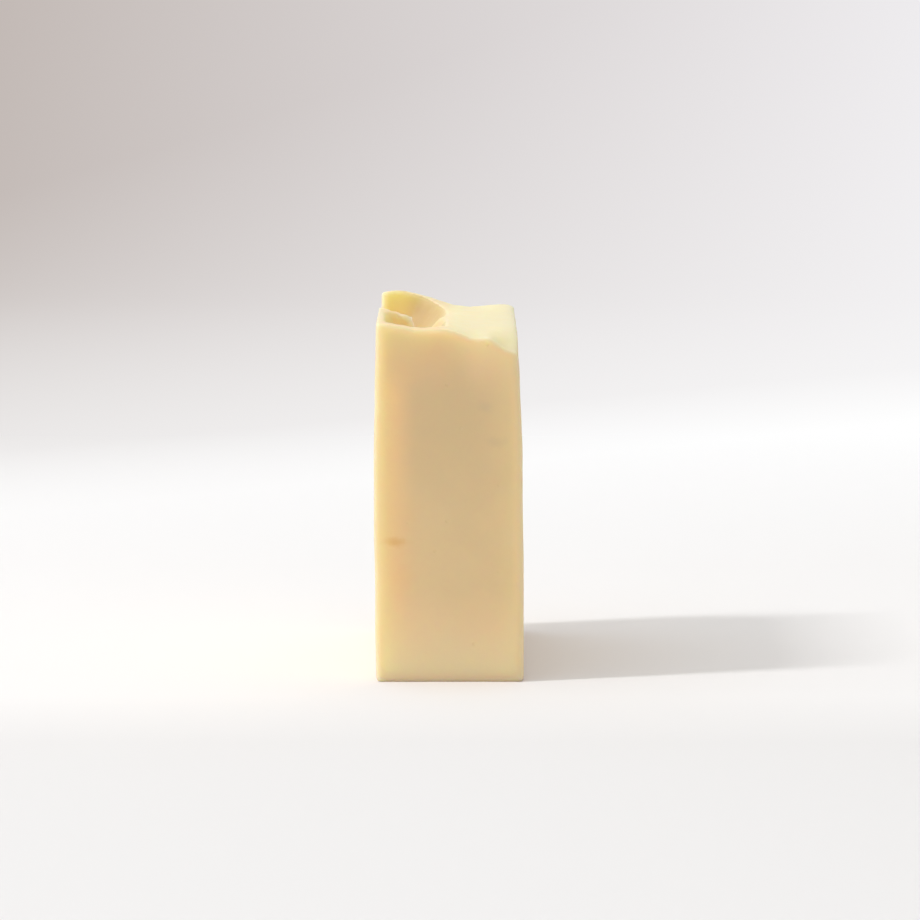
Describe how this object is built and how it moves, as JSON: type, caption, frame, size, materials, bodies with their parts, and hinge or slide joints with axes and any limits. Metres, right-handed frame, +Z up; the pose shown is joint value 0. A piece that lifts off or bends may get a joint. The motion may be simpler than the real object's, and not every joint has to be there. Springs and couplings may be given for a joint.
{
  "type": "bar of soap",
  "caption": "Hand-cut upright bar of cream soap: smooth mould faces, wire-cut sides, flat base and a wavy top drawn with a spoon.",
  "frame": {"origin": "middle of the flat base that the bar stands on", "axes": "+X from the left cut face to the right one, +Y from the front mould face to the back one, +Z up towards the spooned top"},
  "size_m": [0.0304, 0.06, 0.0749],
  "materials": {
    "soap": "satin, waxy and slightly translucent cream"
  },
  "bodies": {
    "root": {"soap_bar": "soap"}
  },
  "joints": []
}
